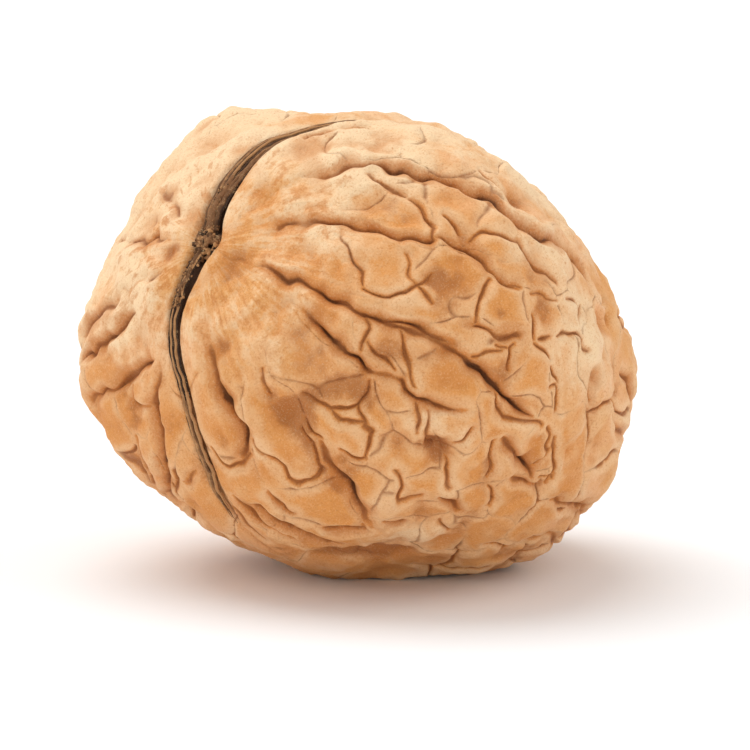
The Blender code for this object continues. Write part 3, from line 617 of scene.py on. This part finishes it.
def relief(unit):
    """Height above the smooth ball in millimetres, and the fields that colour the shell, by direction."""
    points = ball_point(unit)[0]
    down = np.degrees(np.arccos(np.clip(unit[:, 0], -1, 1)))
    around = np.arctan2(unit[:, 2], unit[:, 1])
    height = 0.13 * ripple(points, 13.0, 31) - SINK
    for place, radius, rise in SWELLINGS:
        height += rise * bell(distance(points, place), radius)
    seam, seam_gap, seam_cut = seam_shape(points, down)
    beside_seam = 0.25 + 0.75 * ease(seam_gap, 1.3, 3.0)

    wavy = ball_point(unit_under(points + LINE_WOBBLE * wobble(points, 2.2, 63)))[0]
    cuts, soft, lips, furrow, furrow_depth, line_gap = furrow_relief(points, wavy)
    crease_cuts, crease_lips, crease_gap, crease_line = crease_relief(wavy)
    line_gap = np.minimum(line_gap, crease_line)
    lips = np.maximum(lips, crease_lips)
    dome, step, plate_cuts, plate_gap, border, tint = plate_relief(
        points, unit, down, np.degrees(around), line_gap)
    cuts = np.maximum.reduce([cuts, crease_cuts, plate_cuts])
    crease_gap = np.minimum.reduce([crease_gap, seam_gap + 0.25 * ease(down, 74, 60), plate_gap])

    dents = sum(size * ripple(points, wave, seed) for size, wave, seed in DENTS)
    rays = sum(size * np.cos(count * around + turn) for size, count, turn in RAYS)
    rays *= RAY_HEIGHT * ease(down, 6, 14) * ease(down, 62, 34)
    pits, dished = strongest(points, PITS), strongest(points, DISHES)

    pressed = cuts + soft + pits + dished - lips
    height += seam + (dome + step + dents + rays - pressed) * beside_seam
    height -= KNOT_DENT * bell(distance(points, KNOT_PLACE), KNOT_WIDTH, 4)
    height += TIP_RISE * bell(distance(points, TIP_PLACE), TIP_WIDTH)
    return {
        "height": height,
        "furrow": furrow,
        "furrow_depth": np.clip(furrow_depth, 0, 1.3),
        "crease": crease_gap,
        "border": np.clip(border, 0, 3),
        # hollow: how deep a point lies in pits, dishes and dents, for the painted shade in the finish
        "hollow": np.clip(0.35 + 1.2 * pits + 1.4 * dished - 1.5 * dents - 0.6 * step, 0, 1.5),
        # rise: how raised a point is, painted creamier in the finish as highlight
        "rise": np.clip(0.5 + 1.5 * (dents + step + rays + lips) - 0.8 * (pressed + lips), 0, 1),
        "tint": tint,
        "pale": strongest(points, PALE_AND_PAINTED_LIGHT_PATCHES),
        "amber": strongest(points, AMBER_AND_PAINTED_SHADE_PATCHES, 4),
        "groove": np.clip(seam_cut / 0.6, 0, 1),
        "stem": ease(down, 52, 16),
    }


# %% [markdown]
# ## The shell's mesh
#
# A ball of small equal triangles is the fairest start for a surface with no edges of its own: a globe of
# rings would crowd its points at the two ends. Each point is pushed out along the ball's normal by the
# relief, and then the flat stretches are thinned, so that triangles are spent on creases.

# %% Make the shell
BALL_DIVISIONS = 9
SHELL_TRIANGLES = 196_000


def vertex_places(mesh):
    places = np.empty(len(mesh.vertices) * 3)
    mesh.vertices.foreach_get("co", places)
    return places.reshape(-1, 3)


def keep_field(mesh, name, values):
    """Stores one number for each vertex, for the material to read by name."""
    field = mesh.attributes.new(name, "FLOAT", "POINT")
    field.data.foreach_set("value", np.asarray(values, np.float32))


def add_object(name, mesh):
    made = bpy.data.objects.new(name, mesh)
    bpy.context.scene.collection.objects.link(made)
    return made


def make_shell():
    shape = bmesh.new()
    bmesh.ops.create_icosphere(shape, subdivisions=BALL_DIVISIONS, radius=1.0)
    mesh = bpy.data.meshes.new("walnut_shell")
    shape.to_mesh(mesh)
    shape.free()
    unit = normed(vertex_places(mesh))
    fields = relief(unit)
    points, normal = ball_point(unit)
    surface = lay_down(points + normal * fields.pop("height")[:, None])
    surface[:, 2] = np.maximum(surface[:, 2], 0)
    mesh.vertices.foreach_set("co", (surface * MM).ravel())
    mesh.update()
    mesh.shade_smooth()
    for name, values in fields.items():
        keep_field(mesh, name, values)
    around = np.arctan2(unit[:, 2], unit[:, 1])
    keep_field(mesh, "ray_cos", np.cos(around))
    keep_field(mesh, "ray_sin", np.sin(around))
    keep_field(mesh, "down", np.arccos(np.clip(unit[:, 0], -1, 1)))
    shell = add_object("walnut_shell", mesh)
    thin = shell.modifiers.new("thin_out", "DECIMATE")
    thin.ratio = SHELL_TRIANGLES / len(mesh.polygons)
    graph = bpy.context.evaluated_depsgraph_get()
    shell.data = bpy.data.meshes.new_from_object(shell.evaluated_get(graph))
    shell.modifiers.clear()
    return shell


shell = make_shell()
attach(shell, "root")
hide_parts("shell")
print("shell triangles", len(shell.data.polygons), "fields", [a.name for a in shell.data.attributes])

# %% [markdown]
# ## Shader sums as plain Python
#
# A material here is a sum: gold plus a share of cream, less a share of brown. Written as nodes by hand
# that is dozens of boxes. The small class below wraps one socket, so that a + b or 1 - mask adds the Math
# node itself, and a colour is mixed by a share.

# %% A wire that can be added and multiplied
class Wire:
    """One output socket in a material's node tree."""

    def __init__(self, sheet, socket):
        self.sheet = sheet
        self.socket = socket

    def math(self, operation, other):
        inputs = {"Value": self, "Value_001": other}
        return self.sheet.node("ShaderNodeMath", {"operation": operation}, inputs)

    def __add__(self, other):
        return self.math("ADD", other)

    def __sub__(self, other):
        return self.math("SUBTRACT", other)

    def __rsub__(self, other):
        return (self * -1) + other

    def __mul__(self, other):
        return self.math("MULTIPLY", other)

    __rmul__ = __mul__

    def step(self, low, high):
        """0 at low and 1 at high, smooth between; low may be the larger."""
        inputs = {"Value": self, "From Min": min(low, high), "From Max": max(low, high)}
        settings = {"interpolation_type": "SMOOTHSTEP", "clamp": True}
        rising = self.sheet.node("ShaderNodeMapRange", settings, inputs)
        return rising if low < high else 1 - rising


class Sheet:
    """The node tree of one material, with its Principled shader."""

    def __init__(self, name):
        self.material = bpy.data.materials.new(name)
        self.material.use_nodes = True
        self.tree = self.material.node_tree
        self.shader = self.tree.nodes["Principled BSDF"]

    def node(self, kind, settings, inputs, output=None):
        """Adds one node: its settings first, then values or wires for its sockets."""
        made = self.tree.nodes.new(kind)
        for key, value in settings.items():
            setattr(made, key, value)
        for key, value in inputs.items():
            found = [s for s in made.inputs if s.identifier == key] or [made.inputs[key]]
            self.feed(found[0], value)
        outs = [s for s in made.outputs if s.identifier == output or s.name == output] or [made.outputs[0]]
        return Wire(self, outs[0])

    def feed(self, socket, value):
        if isinstance(value, Wire):
            self.tree.links.new(value.socket, socket)
        elif socket.type == "RGBA":
            socket.default_value = (*value, 1.0)
        else:
            socket.default_value = value

    def field(self, name):
        """A number kept on the mesh's vertices."""
        return self.node("ShaderNodeAttribute", {"attribute_name": name}, {}, "Fac")

    def place(self):
        return self.node("ShaderNodeTexCoord", {}, {}, "Object")

    def noise(self, size, where, detail, rough):
        """A cloudy field from 0 to 1, with clouds about this many millimetres across."""
        inputs = {"Vector": where, "Scale": 1 / (size * MM), "Detail": detail, "Roughness": rough}
        return self.node("ShaderNodeTexNoise", {}, inputs)

    def mix(self, share, first, second):
        """The first colour, going over to the second as share goes from 0 to 1."""
        inputs = {"Factor_Float": share, "A_Color": first, "B_Color": second}
        return self.node("ShaderNodeMix", {"data_type": "RGBA"}, inputs, "Result_Color")

    def finish(self, colour, rough, shine, height=None):
        """Feeds the shader; a height in millimetres becomes a bump. Returns the material."""
        inputs = {"Base Color": colour, "Roughness": rough, "Specular IOR Level": shine}
        if height is not None:
            bump = {"Height": height, "Distance": MM, "Strength": 1.0}
            inputs["Normal"] = self.node("ShaderNodeBump", {}, bump)
        for name, value in inputs.items():
            self.feed(self.shader.inputs[name], value)
        return self.material


# %% [markdown]
# ## The shell's finish
#
# Dry walnut shell is golden tan with creamy patches and darker specks all over. Light and shade are painted
# into the colour too: creamier on the upper side, on raised bumps and on plate edges as painted highlight,
# deeper golden lower down, orange-brown painted shade in its hollows and beside its lines, and brown to
# nearly black painted shade in its creases, its groove and the bottom of its furrows. The fields kept on
# the mesh say where, cloudy noise breaks their edges, and a fine bump adds the wrinkles that are too small
# for the mesh.

# %% Colours of the shell
CREAM = (0.92, 0.675, 0.410)
GOLD = (0.76, 0.355, 0.110)
AMBER = (0.72, 0.295, 0.070)
ORANGE = (0.58, 0.205, 0.042)
SMUDGE_AND_SHADE_BROWN = (0.38, 0.125, 0.030)
BROWN = (0.28, 0.082, 0.016)
BLACK_BROWN = (0.050, 0.019, 0.008)
PINK_TAN = (0.82, 0.425, 0.190)
RAY_ACROSS, RAY_ALONG = 0.024, 0.008


def shell_finish():
    sheet = Sheet("walnut_shell_finish")
    place = sheet.place()
    cloud = sheet.noise(6.0, place, 3.0, 0.6)
    mottle = sheet.noise(1.3, place, 4.0, 0.65)
    speck = sheet.noise(0.28, place, 3.0, 0.7)
    blotch = sheet.noise(2.6, place, 5.0, 0.7)
    grain = sheet.noise(0.14, place, 3.0, 0.7)
    stem, tint, rise, pale, amber = map(sheet.field, ("stem", "tint", "rise", "pale", "amber"))
    hollow, border, groove, furrow = map(sheet.field, ("hollow", "border", "groove", "furrow"))
    depth, gap = sheet.field("furrow_depth"), sheet.field("crease")
    uneven, blot = mottle - 0.5, blotch - 0.5

    stretch = {"ray_cos": RAY_ACROSS, "ray_sin": RAY_ACROSS, "down": RAY_ALONG}
    sides = (sheet.field(name) * by for name, by in stretch.items())
    rays = sheet.node("ShaderNodeCombineXYZ", {}, dict(zip("XYZ", sides)))
    streak = sheet.noise(1.6, rays, 3.0, 0.6)

    # Pale rims of the plates: partly the shell's own paleness, partly painted highlight on their raised
    # edges
    rim_and_highlight = (border + 0.4 * uneven).step(0.10, 0.30) * (border + 0.5 * uneven).step(1.1, 0.45)
    # Painted shade: orange on the walls round the deeper furrows
    furrow_shade = (furrow + 1.6 * uneven).step(2.1, 0.5) * depth.step(0.1, 0.7)
    # Dark fill and painted shade at the bottom of the furrows, darkest where they are deepest
    dark_core_and_shade = (furrow + 0.8 * uneven).step(0.62, 0.12) * depth.step(0.15, 0.6)
    # Painted shade: a thin brown line in each crease; the same line marks the seam's crack towards the tip
    line = (gap + 0.14 * uneven).step(0.17, 0.04)
    # Painted shade: orange in the hollows, pits and dished middles of the plates
    middle = (hollow + 0.9 * uneven - 0.2 * tint).step(0.35, 1.0)
    # Brown smudges where the shell lies hollow: partly its own mottling, partly painted shade
    smudge_and_shade = (hollow + 1.4 * blot - 0.3 * pale).step(0.66, 1.10)
    coats = (
        # Own deeper tone and painted shade: the amber patches, mostly on the lower side
        ((amber + 0.8 * blot).step(0.15, 0.85) * 0.85, AMBER),
        # Painted highlight: raised bumps, steps and lips turn creamier
        ((rise + 0.6 * uneven).step(0.55, 0.95) * 0.35 * (1 - 0.4 * amber), CREAM),
        # Own cream and painted light: the pale patches, mostly on the upper side
        ((pale + 1.2 * blot).step(0.25, 0.75) * 0.90, CREAM),
        (rim_and_highlight * (1 - stem) * 0.38, CREAM),
        # Painted shade: orange right beside the plate borders and lines
        ((border + 0.2 * uneven).step(0.28, 0.05) * (1 - stem) * 0.62, ORANGE),
        (stem * (streak + 1.5 * uneven).step(0.44, 0.70) * 0.5, CREAM),
        (stem * (streak + 1.5 * uneven).step(0.46, 0.25) * 0.6, ORANGE),
        (middle * 0.60, ORANGE),
        (smudge_and_shade * 0.70, SMUDGE_AND_SHADE_BROWN),
        (furrow_shade * 0.80, ORANGE),
        ((speck + 0.4 * uneven).step(0.42, 0.24) * 0.45, ORANGE),
        ((speck + 0.4 * uneven).step(0.56, 0.80) * 0.30, GOLD),
        (grain.step(0.50, 0.28) * 0.45, ORANGE),
        (grain.step(0.50, 0.72) * 0.25, CREAM),
        (line * 0.70, BROWN),
        (dark_core_and_shade * 0.80, BROWN),
        ((dark_core_and_shade * depth).step(0.7, 1.2) * 0.6, BLACK_BROWN),
        # Painted shade: brown in the seam's groove, nearly black at its deepest near the stem end
        (groove.step(0.2, 0.8) * 0.65, BROWN),
        (groove.step(0.7, 1.0) * stem.step(0.75, 1.0) * 0.9, BLACK_BROWN),
    )
    colour = sheet.mix(cloud.step(0.40, 0.60), GOLD, PINK_TAN)
    for share, paint in coats:
        colour = sheet.mix(share, colour, paint)

    wrinkle = (sheet.noise(0.9, place, 4.0, 0.6) - 0.5) * 0.20 + (speck - 0.5) * 0.09 + (grain - 0.5) * 0.04
    height = wrinkle + (streak - 0.5) * stem * 0.05 - line * 0.06
    return sheet.finish(colour, 0.3 * (1 - rise) + 0.15 * speck + 0.50, 0.4, height)


shell.data.materials.clear()
shell.data.materials.append(shell_finish())
print("shell finish nodes", len(shell.data.materials[0].node_tree.nodes))

# %% [markdown]
# ## The strand
#
# A strand of dead husk fibre lies in the groove. It isn't a smooth cord: it is a handful of flat, broken
# fibres side by side, which part further down the seam, with a crumbly knot where the stem was. Each fibre
# is a tube along the seam, with its own distance from the seam's line, so the bundle splits as the real
# one does.

# %% A tube along a line on the shell
TUBE_SIDES = 10


def tube(points, normals, radii, flat=0.8):
    """Places and faces of a closed tube; flat makes it lower than wide."""
    tangent = normed(np.gradient(points, axis=0))
    side = normed(np.cross(tangent, normals))
    lift = np.cross(side, tangent)
    angle = (np.arange(TUBE_SIDES) * 2 * math.pi / TUBE_SIDES)[None, :, None]
    ring = side[:, None] * np.cos(angle) + flat * lift[:, None] * np.sin(angle)
    places = (points[:, None] + ring * radii[:, None, None]).reshape(-1, 3)
    faces = []
    for row in range(len(points) - 1):
        for column in range(TUBE_SIDES):
            after = (column + 1) % TUBE_SIDES
            low, high = row * TUBE_SIDES, (row + 1) * TUBE_SIDES
            faces.append((low + column, low + after, high + after, high + column))
    faces.append(tuple(range(TUBE_SIDES))[::-1])
    faces.append(tuple(len(places) - TUBE_SIDES + column for column in range(TUBE_SIDES)))
    return places, faces


def joined(name, parts):
    """One object made of parts, each with its places, its faces and a shade for the finish."""
    places, faces, shades = [], [], []
    for part_places, part_faces, shade in parts:
        first = sum(map(len, places))
        faces += [tuple(first + i for i in face) for face in part_faces]
        places.append(part_places)
        shades.append(np.broadcast_to(shade, len(part_places)))
    mesh = bpy.data.meshes.new(name)
    mesh.from_pydata((lay_down(np.concatenate(places)) * MM).tolist(), [], faces)
    mesh.shade_smooth()
    keep_field(mesh, "shade", np.concatenate(shades))
    return add_object(name, mesh)


# %% Fibres: branch, radius, shade, then (down, distance from the seam's line)
FIBRES = (
    ("upper", 0.28, 0.45, ((0, 0.00), (10, 0.05), (16, 0.05), (24, 0.05))),
    ("upper", 0.20, 0.35, ((0, 0.30), (10, 0.46), (20, 0.66), (30, 0.78), (40, 0.74), (60, 0.42))),
    ("upper", 0.14, 0.00, ((0, 0.45), (10, 0.68), (20, 0.90), (30, 0.98), (42, 0.90), (58, 0.60))),
    ("upper", 0.14, 0.60, ((0, 0.16), (12, 0.30), (22, 0.44), (32, 0.54), (42, 0.52), (64, 0.26),
                           (72, 0.16))),
    ("upper", 0.10, 0.10, ((0, 0.10), (12, 0.14), (20, 0.22), (28, 0.32), (36, 0.34), (62, 0.12))),
    ("upper", 0.17, 0.65, ((0, -0.20), (10, -0.34), (20, -0.54), (30, -0.62), (40, -0.50), (62, -0.18))),
    ("upper", 0.15, 0.30, ((0, -0.34), (10, -0.58), (20, -0.80), (30, -0.88), (42, -0.70), (66, -0.24),
                           (76, -0.12))),
    ("upper", 0.11, 0.15, ((0, -0.10), (12, -0.20), (22, -0.34), (32, -0.42), (44, -0.26), (66, -0.04))),
    ("upper", 0.12, 1.00, ((0, 0.00), (14, -0.05), (26, -0.12), (36, -0.08), (48, 0.05), (64, 0.08))),
    ("under", 0.19, 0.40, ((0, 0.00), (8, 0.00), (14, 0.0), (19, 0.0))),
    ("under", 0.11, 0.05, ((0, -0.20), (12, -0.30), (24, -0.40), (36, -0.40), (46, -0.18))),
    ("under", 0.13, 0.90, ((0, -0.10), (12, -0.16), (22, -0.20), (34, -0.20), (48, -0.10))),
    ("under", 0.10, 0.05, ((0, 0.00), (12, 0.00), (24, 0.00), (36, 0.02), (48, 0.00))),
    ("under", 0.13, 0.95, ((0, 0.10), (12, 0.16), (24, 0.21), (34, 0.22), (48, 0.10))),
    ("under", 0.11, 0.05, ((0, 0.20), (12, 0.32), (24, 0.42), (36, 0.42), (45, 0.20))),
    ("under", 0.16, 0.85, ((36, 0.20), (48, 0.24), (60, 0.26), (76, 0.14))),
    ("under", 0.10, 0.45, ((40, 0.00), (50, 0.02), (60, -0.02), (70, 0.00), (78, 0.00))),
    ("under", 0.15, 0.95, ((38, -0.20), (48, -0.22), (60, -0.25), (74, -0.12))),
    ("under", 0.07, 0.00, ((44, 0.42), (54, 0.46), (62, 0.44), (70, 0.30))),
)
FIBRE_STEP = 0.12
ARC_REACH = 17.5
FIRST_DOWN = 2.0
FADE = {"upper": 0.35, "under": 0.0}


def seam_frame(branch, down):
    """Points, normals and sideways directions of the seam's line at these degrees down."""
    unit = unit_under(seam_route(branch)[:, :3])
    route_down = np.degrees(np.arccos(np.clip(unit[:, 0], -1, 1)))
    line = np.stack([np.interp(down, route_down, unit[:, axis]) for axis in range(3)], 1)
    line[down <= route_down[0]] = unit[0]
    points, normal = ball_point(normed(line))
    return points, normal, normed(np.cross(np.gradient(points, axis=0), normal))


def height_at(points):
    """Relief at points near the ball."""
    return relief(unit_under(points))["height"]


def fibre_parts():
    """A tube for each fibre: it lies on the shell or, where that is lower, on the rest of the bundle."""
    draw = np.random.default_rng(17)
    for branch, radius, paleness, bends in FIBRES:
        bends = np.array(bends, float)
        length = (bends[-1, 0] - bends[0, 0]) / 180 * math.pi * ARC_REACH
        count = round(length / FIBRE_STEP)
        share = np.linspace(0, 1, count)
        start = max(FIRST_DOWN, bends[0, 0])
        down = start + (bends[-1, 0] - start) * share
        points, normal, side = seam_frame(branch, down)
        wander = 0.05 * np.sin(share * length * 1.9 + draw.uniform(0, 6))
        wander += 0.03 * np.sin(share * length * 4.7)
        offset = np.interp(down, bends[:, 0], bends[:, 1]) + wander
        moved = points + side * offset[:, None]
        size = radius * (0.15 + 0.85 * ease(share, 1.0, 0.70)) * (1 + 0.15 * draw.normal(size=count))
        size = np.convolve(np.pad(size, 2, "edge"), np.ones(5) / 5, "valid")
        bundle = height_at(points) + groove_at(branch, "deep", down) + 0.12 - 0.25 * np.abs(offset)
        height = np.maximum(height_at(moved) + 0.55 * size, bundle)
        shade = np.repeat(paleness + FADE[branch] * share, TUBE_SIDES)
        yield *tube(moved + normal * height[:, None], normal, size), shade


fibres = joined("strand_fibres", fibre_parts())
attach(fibres, "root")
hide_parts("seam_fibre")
print("fibre faces", len(fibres.data.polygons))

# %% [markdown]
# ## The knot and the crumbs
#
# Where the stem was, the fibres end in a crumbly knot. It is a heap of small rough lumps: each is a little
# ball pushed in and out by a ripple, so no two are alike. The same lumps, much smaller, lie along the
# strand as crumbs.

# %% Rough lumps
KNOT_LUMPS = 110
CRUMBS = 60
FINE_LUMP = 0.13


def lump(middle, size, draw):
    """Places and faces of one rough lump; the larger ones get more faces."""
    shape = bmesh.new()
    bmesh.ops.create_icosphere(shape, subdivisions=3 if size > FINE_LUMP else 2, radius=1.0)
    ball = np.array([v.co for v in shape.verts])
    faces = [tuple(v.index for v in face.verts) for face in shape.faces]
    shape.free()
    coarse, fine = (int(draw.integers(1e6)) for _ in range(2))
    rough = 1 + 0.22 * ripple(ball, 1.6, coarse) + 0.10 * ripple(ball, 0.7, fine)
    stretch = draw.uniform(0.6, 1.3, 3)
    return middle + ball * rough[:, None] * stretch * size, faces


def knot_parts():
    """The heap of lumps at the stem end, then the crumbs along both branches of the seam."""
    draw = np.random.default_rng(23)
    stem_end, normal = ball_point(direction(*KNOT_PLACE))
    away = np.clip(draw.normal(size=(KNOT_LUMPS, 2)), -1.7, 1.7) * (0.70, 0.55)
    middles = stem_end + np.concatenate([np.zeros((KNOT_LUMPS, 1)), away], 1)
    sizes = draw.uniform(0.10, 0.26, KNOT_LUMPS)
    lift = -0.30 - 0.50 * np.linalg.norm(away, axis=1)
    spots = list(middles + normal * np.maximum(height_at(middles) + 0.3 * sizes, lift)[:, None])
    for branch in SEAM:
        down = np.sort(draw.uniform(4, 18, CRUMBS))
        points, normals, side = seam_frame(branch, down)
        deep = GROOVE[branch]["deep"][0]
        offset = draw.uniform(-0.5, 0.5, CRUMBS)
        rise = height_at(points) + deep + 0.18 - 0.3 * np.abs(offset)
        spots += list(points + side * offset[:, None] + normals * rise[:, None])
        sizes = np.concatenate([sizes, draw.uniform(0.05, 0.12, CRUMBS)])
    for where, size in zip(spots, sizes):
        yield *lump(where, size, draw), draw.uniform(0.10, 1.05)


knot = joined("stem_knot", knot_parts())
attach(knot, "root")
print("knot faces", len(knot.data.polygons))

# %% [markdown]
# ## The strand's finish
#
# Old husk fibre is brown and dull, with pale dust on it. Each fibre and lump carries its own shade, and
# cloudy noise speckles it.

# %% Finish of fibres and knot
FIBRE_DARK = (0.036, 0.017, 0.009)
FIBRE_BROWN = (0.22, 0.100, 0.042)
FIBRE_TAN = (0.48, 0.240, 0.098)
CRUMB_BEIGE = (0.60, 0.41, 0.21)


def strand_finish(name, dust):
    sheet = Sheet(name)
    place = sheet.place()
    cloud = sheet.noise(0.5, place, 4.0, 0.65)
    grain = sheet.noise(0.12, place, 3.0, 0.7)
    shade = sheet.field("shade") + 0.7 * (cloud - 0.5)
    colour = sheet.mix(shade.step(0.05, 0.60), FIBRE_DARK, FIBRE_BROWN)
    colour = sheet.mix(shade.step(0.60, 1.0), colour, FIBRE_TAN)
    colour = sheet.mix((grain + 0.5 * cloud - 0.25).step(0.55, 0.72) * dust, colour, CRUMB_BEIGE)
    height = (grain - 0.5) * 0.09 + (cloud - 0.5) * 0.06
    return sheet.finish(colour, 0.2 * cloud + 0.75, 0.2, height)


fibres.data.materials.append(strand_finish("fibre_finish", 0.45))
knot.data.materials.append(strand_finish("knot_finish", 0.8))
print("strand finishes", fibres.data.materials[0].name, knot.data.materials[0].name)

# %% [markdown]
# ## Table, light and camera
#
# The nut lies on a white table in a bright room, so the whole sky is a soft white lamp. Four wide suns
# stand for the windows and give the light its directions. The camera is a long lens, low in front and to
# the side of the stem end.

# %% Table
TABLE_HALF = 3.0
TABLE_WHITE = (0.92, 0.92, 0.92)


def make_table():
    shape = bmesh.new()
    bmesh.ops.create_grid(shape, x_segments=1, y_segments=1, size=TABLE_HALF)
    mesh = bpy.data.meshes.new("table")
    shape.to_mesh(mesh)
    shape.free()
    mesh.materials.append(Sheet("table_finish").finish(TABLE_WHITE, 0.6, 0.0))
    return add_object("table", mesh)


make_table()
print("table", 2 * TABLE_HALF, "m wide")

# %% Camera
CAMERA_ROUND, CAMERA_RISE = -46.7, 10.0
CAMERA_AWAY = 0.485
AIM_RIGHT, AIM_UP = 2.36, -2.88
LENS, SENSOR = 325.9, 36.0


def toward(around, rise):
    """Direction to a place so many degrees round the nut and so many degrees up."""
    around, rise = math.radians(around), math.radians(rise)
    return Vector((math.sin(around) * math.cos(rise), -math.cos(around) * math.cos(rise), math.sin(rise)))


to_camera = toward(CAMERA_ROUND, CAMERA_RISE)
right = toward(CAMERA_ROUND + 90, 0)
up = to_camera.cross(right)
aim = (Vector(MIDDLE) + AIM_RIGHT * right + AIM_UP * up) * MM
lens = bpy.data.cameras.new("camera")
lens.lens, lens.sensor_width = LENS, SENSOR
lens.clip_start, lens.clip_end = 0.01, 10.0
camera = bpy.data.objects.new("camera", lens)
turned = Matrix((right, up, to_camera)).transposed().to_4x4()
camera.matrix_world = Matrix.Translation(aim + CAMERA_AWAY * to_camera) @ turned
bpy.context.scene.collection.objects.link(camera)
bpy.context.scene.camera = camera
print("camera at", [round(value, 3) for value in camera.matrix_world.translation])

# %% Light: name, strength, degrees round from the camera's side, degrees up, spread
SKY = 0.59
LAMPS = (
    ("ceiling_window", 1.50, -130, 70, 50),
    ("left_window", 0.60, -100, 32, 60),
    ("right_window", 0.60, 85, 36, 60),
    ("front_fill", 0.55, -6, 6, 70),
)


def add_lamp(name, strength, around, rise, spread):
    light = bpy.data.lights.new(name, "SUN")
    light.energy = strength
    light.angle = math.radians(spread)
    lamp = add_object(name, light)
    lamp.rotation_mode = "QUATERNION"
    lamp.rotation_quaternion = toward(CAMERA_ROUND + around, rise).to_track_quat("Z", "Y")


world = bpy.data.worlds.new("bright_room")
world.use_nodes = True
world.node_tree.nodes["Background"].inputs["Color"].default_value = (1, 1, 1, 1)
world.node_tree.nodes["Background"].inputs["Strength"].default_value = SKY
bpy.context.scene.world = world
for lamp in LAMPS:
    add_lamp(*lamp)
bpy.context.scene.view_settings.view_transform = "Standard"
print("lamps", len(LAMPS), "and a sky of", SKY)
